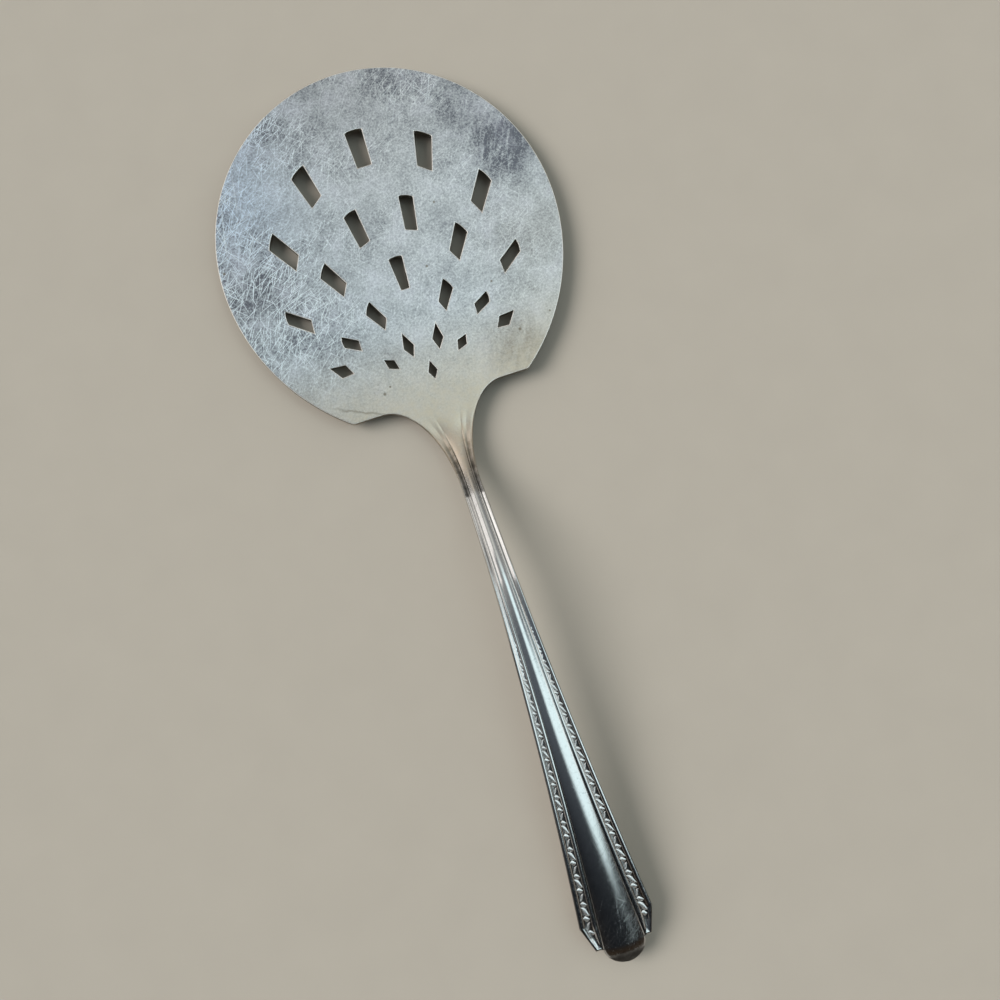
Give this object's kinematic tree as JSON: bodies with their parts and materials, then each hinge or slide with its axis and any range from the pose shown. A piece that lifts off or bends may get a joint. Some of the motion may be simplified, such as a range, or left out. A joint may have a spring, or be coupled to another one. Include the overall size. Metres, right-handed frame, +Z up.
{
  "type": "tomato server",
  "caption": "Flat serving utensil with a round pierced blade on an arched handle whose spine runs between two bordered panels.",
  "frame": {"origin": "under the middle of the object's length and width, on the surface that it rests on", "axes": "+Z up from the resting surface, +Y from the handle's tip to the blade's front, +X across"},
  "size_m": [0.0754, 0.2, 0.0118],
  "materials": {
    "blade_silver": "satin",
    "handle_silver": "polished",
    "solder": "satin"
  },
  "bodies": {
    "root": {"blade": "blade_silver", "solder_film": "solder", "handle": "handle_silver"}
  },
  "joints": []
}
